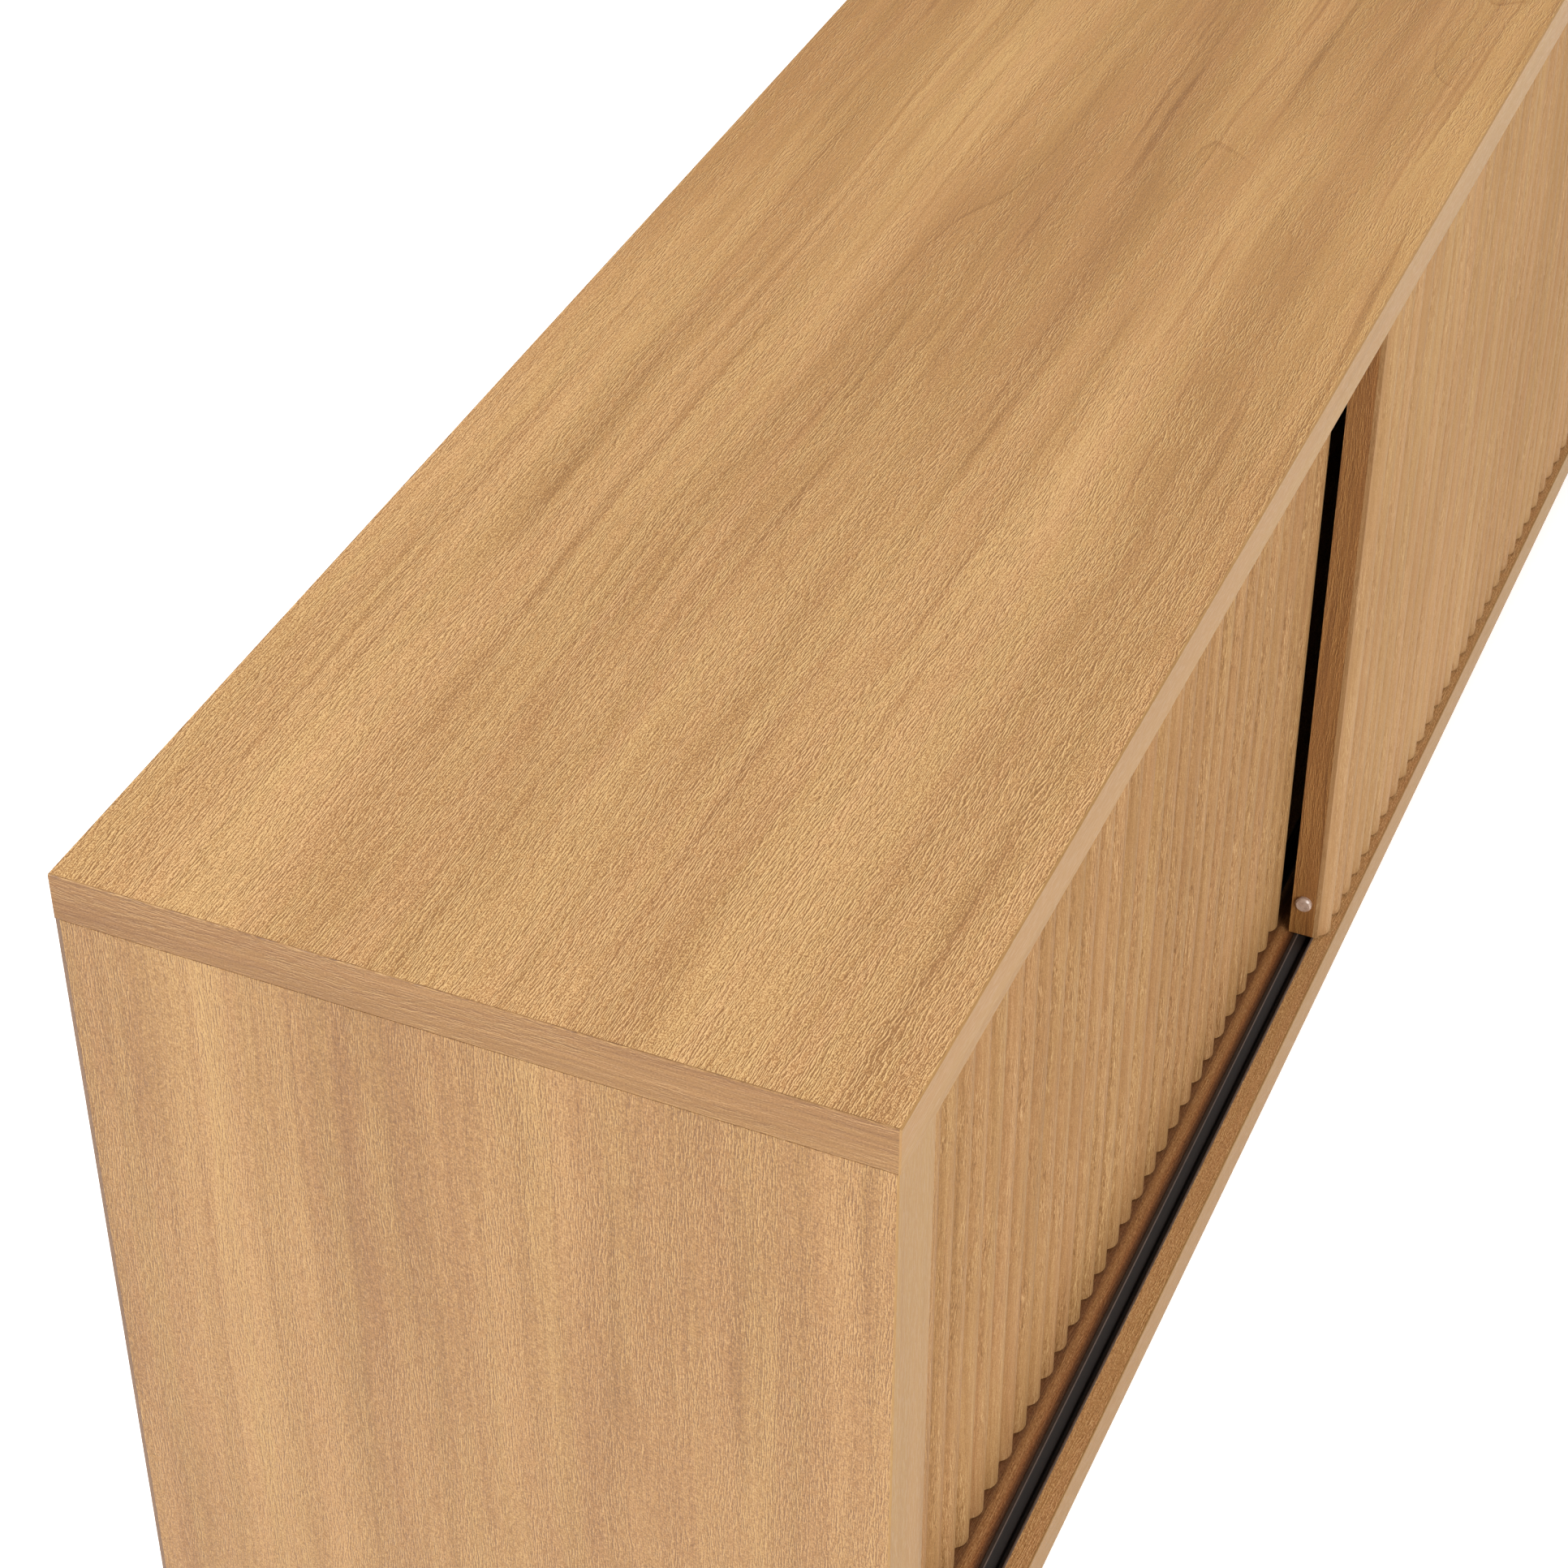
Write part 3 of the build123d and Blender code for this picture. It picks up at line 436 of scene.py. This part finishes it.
def extruded():
    """The channels' dark plastic, with faint draw lines along its length and painted light and shade across
    its profile.

    lane is how far a point lies behind the middle of its own slot.
    """
    m = Material("track_plastic", Specular_IOR_Level=0.3)
    x, y, z = m.axes()
    place = m.vector(m.math("MULTIPLY", x, 6.0), m.math("MULTIPLY", y, 2600.0),
                     m.math("MULTIPLY", z, 2600.0))
    draw = m.noise(place, 1.0, 2.0, 0.5, 0.0, 8.0)
    dust = m.noise(m.vector(x, y, z), 160.0, 4.0, 0.65, 0.0, 6.0)
    from_start = m.math("SUBTRACT", y, SLOT_MIDDLE - LANE_START)
    lane = m.math("SUBTRACT", m.math("MODULO", from_start, DOOR_PITCH), LANE_START)
    # painted light on the front lip, painted shade on the shoulder and a painted highlight on the arris
    front_lip = m.math("LESS_THAN", lane, -SLOT_HALF)
    shoulder = m.between(lane, SLOT_HALF, SHOULDER_END)
    arris = m.between(lane, SHOULDER_END, SHOULDER_END + ARRIS_WIDTH)
    profile_painted_light = m.math("ADD", m.math("MULTIPLY", front_lip, FRONT_LIP_PAINTED_LIGHT),
                 m.math("MULTIPLY", shoulder, SHOULDER_PAINTED_SHADE))
    profile_painted_light = m.math("ADD", m.math("ADD", profile_painted_light, m.math("MULTIPLY", arris, ARRIS_PAINTED_HIGHLIGHT)), 1.0)
    shade = m.ramp(m.math("ADD", m.math("MULTIPLY", draw, 0.5), m.math("MULTIPLY", dust, 0.5)),
                   (0.3, linear(37, 29, 25)), (0.7, linear(56, 46, 40)))
    shade = m.mix(1.0, shade, m.vector(profile_painted_light, profile_painted_light, profile_painted_light), "MULTIPLY")
    return m.finish(shade, m.remap(dust, 0.3, 0.75, 0.42, 0.54), m.bump(draw, 0.00001))


def metal(name, colour, roughness, stretch=(1.0, 1.0, 1.0)):
    """Plated, drawn or cast metal with fine marks from its making."""
    m = Material(name, Metallic=1.0)
    x, y, z = m.axes()
    place = m.vector(*(m.math("MULTIPLY", a, 900.0 * s) for a, s in zip((x, y, z), stretch)))
    marks = m.noise(place, 1.0, 3.0, 0.6, 0.0, 3.0)
    darker = tuple(c * 0.82 for c in colour[:3]) + (1.0,)
    shade = m.ramp(marks, (0.3, darker), (0.7, colour))
    return m.finish(shade, m.remap(marks, 0.3, 0.7, roughness - 0.06, roughness + 0.1),
                    m.bump(marks, 0.000008))


def clear_silicone():
    """The bumpers: soft, clear and slightly warm."""
    m = Material("bumper_silicone", IOR=1.41, Transmission_Weight=0.45, Coat_Weight=0.5)
    m.shader.inputs["Coat Roughness"].default_value = 0.12
    x, y, z = m.axes()
    cloud = m.noise(m.vector(x, y, z), 260.0, 1.0, 0.4, 0.0, 1.5)
    shade = m.ramp(cloud, (0.3, linear(206, 172, 150)), (0.7, linear(220, 190, 170)))
    return m.finish(shade, m.remap(cloud, 0.3, 0.7, 0.24, 0.30), m.bump(cloud, 0.000004))


def raw_beech():
    """The dowels' plain wood."""
    m = Material("dowel_beech", IOR=1.45)
    x, y, z = m.axes()
    grain = m.noise(m.vector(x, y, z), 700.0, 3.0, 0.6, 0.5, 9.0)
    shade = m.ramp(grain, (0.3, linear(196, 158, 116)), (0.7, linear(222, 186, 144)))
    return m.finish(shade, m.remap(grain, 0.3, 0.7, 0.7, 0.58), m.bump(grain, 0.00005))


WOOD_TINT = (0.68, 0.66, 0.62)


def toned(r, g, b):
    """A tint of the wood tone that all the boards share."""
    return tuple(w * t for w, t in zip(WOOD_TINT, (r, g, b)))


TRACK_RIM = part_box("front_bottom_track")[1][1]

# where along the piece the dashes start and end to fade, and their strength there
TOP_FADE = (-0.62, 0.05, 1.0, 0.32)

# where along the piece the colour starts and ends to shift, and by what tint
TOP_DRIFT = (-0.7, 0.5, (1.01, 0.96, 0.84))
EDGE_DRIFT = (-0.7, 0.3, (1.18, 1.25, 1.46))
# on the doors the shift is painted light: lighter towards the bottom, against the shade on the lower part
DOOR_PAINTED_LIGHT = (0.32, 0.04, (1.14, 1.15, 1.19))


def facing_laminate(name, seed, tint, **print_settings):
    """The laminate of a reeded facing, duller than the flat boards."""
    return laminate(name, "zx", seed, tint, bands=0.5, drift=DOOR_PAINTED_LIGHT, flat=False, roughness=0.58,
                    sheen=0.25, **print_settings)


MATERIALS = {
    "top_laminate": laminate("top_laminate", "xy", 1.0, toned(0.95, 0.93, 0.86), bands=1.8, lines=0.14,
                             press=2.1, relief=1.3, rings=0.3, veins=0.7, fade=TOP_FADE, drift=TOP_DRIFT),
    "side_laminate": laminate("side_laminate", "zy", 14.0, toned(0.67, 0.62, 0.49), bands=1.7, lines=0.25,
                              press=0.95, relief=0.9, rings=0.25, veins=0.35, sand=0.6),
    "bottom_laminate": laminate("bottom_laminate", "xy", 23.0, toned(1.14, 1.08, 1.0), bands=0.6,
                                press=0.3, relief=0.8, rings=0.0, sand=0.7, painted_shadow_start=TRACK_RIM),
    "divider_laminate": laminate("divider_laminate", "zy", 31.0, toned(0.92, 0.89, 0.80), bands=1.8,
                                 lines=0.2, rings=0.5),
    "shelf_laminate": laminate("shelf_laminate", "xy", 37.0, toned(0.92, 0.89, 0.80), bands=1.4,
                               lines=0.15, press=1.2),
    "edge_band": laminate("edge_band", "xz", 43.0, toned(0.737, 0.72, 0.552), bands=0.5, lines=0.08,
                          press=0.1, relief=0.2, rings=0.0, drift=EDGE_DRIFT),
    "end_band": laminate("end_band", "yz", 51.0, toned(0.60, 0.54, 0.42), bands=1.3, lines=0.4, press=0.7,
                         relief=0.5, rings=0.0),
    "upright_band": laminate("upright_band", "zx", 57.0, toned(0.68, 0.65, 0.43), bands=0.6, lines=0.12,
                             press=0.15, relief=0.3, rings=0.0),
    "door_laminate": laminate("door_laminate", "zy", 63.0, toned(0.625, 0.485, 0.285), bands=1.4,
                              lines=0.6, press=0.6, relief=0.5, rings=0.3),
    "reeded_facing": facing_laminate("right_facing", 71.0, toned(0.82, 0.85, 0.89), lines=0.22, press=0.25,
                                     relief=0.5, rings=0.3, veins=0.5, valley=0.12),
    "back_board": back_board(),
    "track_plastic": extruded(),
    "fitting_plastic": moulded("fitting_plastic", linear(38, 36, 36), 0.45),
    "roller_nylon": moulded("roller_nylon", linear(226, 224, 218), 0.35, grain_scale=900.0),
    "pin_nylon": moulded("pin_nylon", linear(222, 220, 214), 0.38, grain_scale=900.0),
    "axle_steel": metal("axle_steel", linear(205, 204, 202), 0.28, stretch=(1.0, 0.05, 1.0)),
    "bumper_silicone": clear_silicone(),
    "zinc_casting": metal("zinc_casting", linear(196, 196, 197), 0.45),
    "zinc_steel": metal("zinc_steel", linear(206, 205, 201), 0.3),
    "dowel_beech": raw_beech(),
    "shelf_pin_steel": metal("shelf_pin_steel", linear(216, 214, 210), 0.2),
    "screw_steel": metal("screw_steel", linear(208, 204, 190), 0.32),
    "foot_plastic": moulded("foot_plastic", linear(34, 33, 32), 0.5),
}


def dress_cad_nodes():
    """Gives every CAD node the material of its slot in the record."""
    for row in frame["record"]["subparts"]:
        piece = NODES[row["node"]]
        made = MATERIALS[row["material_slot"]]
        if not piece.material_slots:
            piece.data.materials.append(made)
        for place in piece.material_slots:
            place.material = made


# ---------------------------------------------------------------- reeded facings


def wave(pitch, height):
    """One reed from valley to valley: (across, depth behind the crest) pairs, the last left out.

    Two arcs make it, one for the crest and one for the valleys. slope is where they meet, in radians.
    """
    slope = 2 * math.atan2(height, pitch / 2)
    crest_half = REED_CREST_SHARE * pitch / 2
    valley_half = pitch / 2 - crest_half
    crest_radius = crest_half / math.sin(slope)
    valley_radius = valley_half / math.sin(slope)
    points = []
    for n in range(VALLEY_STEPS):
        a = slope * n / VALLEY_STEPS
        points.append((valley_radius * math.sin(a), height - valley_radius * (1 - math.cos(a))))
    for n in range(2 * CREST_STEPS):
        a = slope * (n / CREST_STEPS - 1)
        points.append((pitch / 2 + crest_radius * math.sin(a), crest_radius * (1 - math.cos(a))))
    for n in range(VALLEY_STEPS, 0, -1):
        a = slope * n / VALLEY_STEPS
        points.append((pitch - valley_radius * math.sin(a), height - valley_radius * (1 - math.cos(a))))
    return points


def reeded_facing(door, material):
    """A finer mesh of the door's facing, with its upper and lower rims eased.

    Each point carries how deep it lies in a valley, for the painted shade that the material puts there.
    """
    low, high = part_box(f"{door}_facing")
    pitch = (high[0] - low[0]) / REED_COUNT
    outline = [(low[0] + n * pitch + x, low[1] + y) for n in range(REED_COUNT)
               for x, y in wave(pitch, REED_HEIGHT)]
    outline.append((high[0], low[1] + REED_HEIGHT))
    mesh = bmesh.new()
    bend = FACING_EASE_BEND * FACING_EASE
    levels = ((low[2], FACING_EASE), (low[2] + bend, bend), (low[2] + FACING_EASE, 0.0),
              (high[2] - FACING_EASE, 0.0), (high[2] - bend, bend), (high[2], FACING_EASE))
    rows = [[mesh.verts.new((x, y + back, z)) for x, y in outline] for z, back in levels]
    back_rows = [[mesh.verts.new((x, high[1], row_z)) for x, _ in outline]
                 for row_z in (low[2], high[2])]
    for lower, upper in zip(rows, rows[1:]):
        for n in range(len(outline) - 1):
            face = mesh.faces.new((lower[n], lower[n + 1], upper[n + 1], upper[n]))
            face.smooth = True
    for front, back in ((rows[0], back_rows[0]), (back_rows[1], rows[-1])):
        for n in range(len(outline) - 1):
            mesh.faces.new((back[n], back[n + 1], front[n + 1], front[n]))
    left_edge = [row[0] for row in rows] + [back_rows[1][0], back_rows[0][0]]
    right_edge = [row[-1] for row in rows] + [back_rows[1][-1], back_rows[0][-1]]
    mesh.faces.new(left_edge)
    mesh.faces.new(list(reversed(right_edge)))
    for n in range(len(outline) - 1):
        mesh.faces.new((back_rows[0][n + 1], back_rows[0][n], back_rows[1][n], back_rows[1][n + 1]))
    data = bpy.data.meshes.new(f"{door}_reeds")
    bmesh.ops.recalc_face_normals(mesh, faces=mesh.faces)
    mesh.to_mesh(data)
    mesh.free()
    depths = data.attributes.new("valley", "FLOAT", "POINT")
    for point, vertex in zip(depths.data, data.vertices):
        point.value = min(1.0, max(0.0, (vertex.co.y - low[1]) / REED_HEIGHT)) ** VALLEY_POWER
    piece = bpy.data.objects.new(f"{door}_reeds", data)
    bpy.context.collection.objects.link(piece)
    data.materials.append(material)
    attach(piece, door)
    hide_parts(f"{door}_facing")


# ---------------------------------------------------------------- studio


FLOOR_SIZE = 40.0
FLOOR_GLOW = 0.5
SKY_STRENGTH = 0.6


def floor():
    """A plain pale floor."""
    m = Material("floor", Roughness=0.9, Specular_IOR_Level=0.1)
    x, y, z = m.axes()
    cloud = m.noise(m.vector(x, y, z), 0.6, 2.0, 0.5, 0.0, 0.0)
    shade = m.ramp(cloud, (0.3, (0.90, 0.90, 0.90, 1.0)), (0.7, (0.92, 0.92, 0.92, 1.0)))
    m.finish(shade)
    m.plug(m.shader.inputs["Emission Color"], shade)
    m.shader.inputs["Emission Strength"].default_value = FLOOR_GLOW
    bpy.ops.mesh.primitive_plane_add(size=FLOOR_SIZE)
    plane = bpy.context.object
    plane.name = "floor"
    plane.data.materials.append(m.mat)


def soft_box(name, place, target, size, power):
    """A rectangular lamp that looks at its target, in metres and watts."""
    light = bpy.data.lights.new(name, "AREA")
    light.shape = "RECTANGLE"
    light.size, light.size_y = size
    light.energy = power
    made = bpy.data.objects.new(name, light)
    made.location = place
    made.rotation_euler = (Vector(target) - Vector(place)).to_track_quat("-Z", "Y").to_euler()
    bpy.context.collection.objects.link(made)


def studio():
    """White sky, a lamp behind the cabinet's left end and a larger one in front of it."""
    world = bpy.data.worlds.new("studio")
    bpy.context.scene.world = world
    world.use_nodes = True
    sky = world.node_tree.nodes["Background"]
    sky.inputs["Color"].default_value = (1.0, 1.0, 1.0, 1.0)
    sky.inputs["Strength"].default_value = SKY_STRENGTH
    soft_box("key", (-2.4, 2.2, 3.6), (0, 0, 0.4), (1.0, 1.0), 190.0)
    soft_box("fill", (-3.0, -3.5, 2.3), (0, 0, 0.3), (2.6, 2.6), 190.0)
    settings = bpy.context.scene.view_settings
    settings.view_transform = "Standard"
    settings.look = "None"


def camera():
    """The camera of the photo's view, above the left end."""
    data = bpy.data.cameras.new("camera")
    data.lens = LENS
    data.sensor_width = SENSOR
    data.clip_start = 0.05
    data.clip_end = 100.0
    heading = math.radians(CAMERA_HEADING)
    tilt = math.radians(CAMERA_TILT)
    forward = Vector((math.cos(heading) * math.cos(tilt), math.sin(heading) * math.cos(tilt),
                      -math.sin(tilt)))
    level = Vector((math.sin(heading), -math.cos(heading), 0.0))
    right = Matrix.Rotation(-math.radians(CAMERA_ROLL), 3, forward) @ level
    up = right.cross(forward)
    turn = Matrix((right, up, -forward)).transposed()
    made = bpy.data.objects.new("camera", data)
    made.matrix_world = Matrix.Translation(CAMERA_PLACE) @ turn.to_4x4()
    bpy.context.collection.objects.link(made)
    bpy.context.scene.camera = made


dress_cad_nodes()
# the left door's facing is a darker copy of the right door's, with more painted valley shade: painted shade
# for the rear lane, set deeper in the cabinet
left_facing_painted_shade = facing_laminate("left_facing_painted_shade", 83.0, toned(0.73, 0.71, 0.67), lines=0.3, press=0.45,
                              relief=0.6, rings=0.5, veins=0.7, valley=0.26)
reeded_facing("left_door", left_facing_painted_shade)
reeded_facing("right_door", MATERIALS["reeded_facing"])
floor()
studio()
camera()

bpy.context.view_layer.update()
